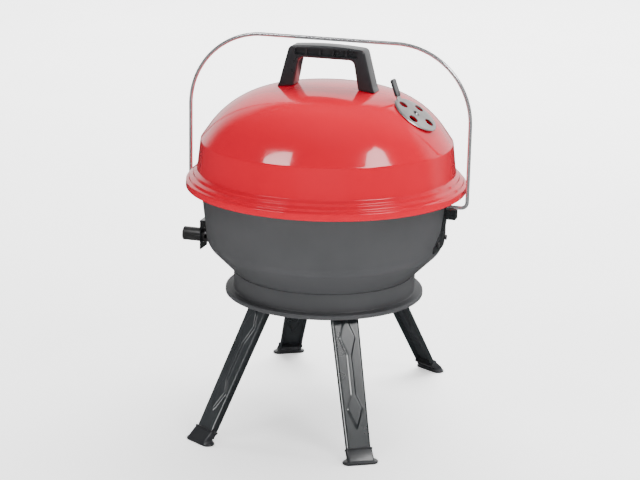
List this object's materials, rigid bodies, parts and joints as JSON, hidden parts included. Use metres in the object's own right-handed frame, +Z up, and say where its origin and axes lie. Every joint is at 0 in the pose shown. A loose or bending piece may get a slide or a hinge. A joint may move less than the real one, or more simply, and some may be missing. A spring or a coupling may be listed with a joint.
{
  "type": "portable tabletop grill",
  "caption": "Portable tabletop kettle grill: domed lid with handle and vent, steel bowl with burner and grate, swinging wire bail, and splayed legs.",
  "frame": {"origin": "on the ground, on the kettle's vertical axis", "axes": "+Z up; the bail's pivot line, the lid handle and the burner tube lie along X, with the tube's open end at -X and the lid vent at +X; -Y is the front"},
  "size_m": [0.393, 0.4022, 0.504],
  "materials": {
    "red_enamel": "gloss",
    "grey_paint": "satin",
    "black_paint": "gloss",
    "chrome_wire": "polished",
    "zinc": "bright zinc plate",
    "black_plastic": "moulded, fine grain",
    "dark_steel": "dull",
    "plated_steel": "zinc plate"
  },
  "bodies": {
    "base": {"bowl": "grey_paint", "base_ring": "grey_paint", "base_screws": "plated_steel", "bail_bracket_right": "black_paint", "bail_bracket_left": "black_paint", "bail_bracket_rivets": "plated_steel", "burner_tube_bracket": "black_paint", "burner_bracket_rivets": "plated_steel", "burner_tube": "dark_steel", "burner": "dark_steel", "burner_stand": "dark_steel", "burner_screw": "plated_steel", "heat_plate": "black_paint", "cooking_grate": "chrome_wire", "grate_supports": "dark_steel", "leg_front_right": "black_paint", "leg_front_left": "black_paint", "leg_rear_right": "black_paint", "leg_rear_left": "black_paint", "foot_front_right": "black_plastic", "foot_front_left": "black_plastic", "foot_rear_right": "black_plastic", "foot_rear_left": "black_plastic", "leg_screws": "plated_steel", "leg_nuts": "plated_steel"},
    "lid": {"lid_shell": "red_enamel", "lid_handle": "black_plastic", "handle_screws": "plated_steel", "vent_rivet": "plated_steel"},
    "vent": {"vent_damper": "zinc", "vent_grip": "black_plastic"},
    "bail": {"bail_handle": "chrome_wire", "bail_push_nuts": "plated_steel"}
  },
  "joints": [
    {"name": "bail_swing", "type": "hinge", "parent": "base", "child": "bail", "pos_m": [0, 0, 0.293], "axis": [-1, 0, 0], "range_deg": [0, 110]},
    {"name": "lid_lift", "type": "slide", "parent": "base", "child": "lid", "axis": [0, 0, 1], "range_m": [0, 0.0885]},
    {"name": "vent_turn", "type": "hinge", "parent": "lid", "child": "vent", "pos_m": [0.12246, -0.01612, 0.41562], "axis": [0.5573, -0.0734, 0.8271], "range_deg": [0, 45]}
  ],
  "couplings": [
    {"joint": "lid_lift", "follows": "bail_swing", "m_per_rad": 0.045837}
  ]
}
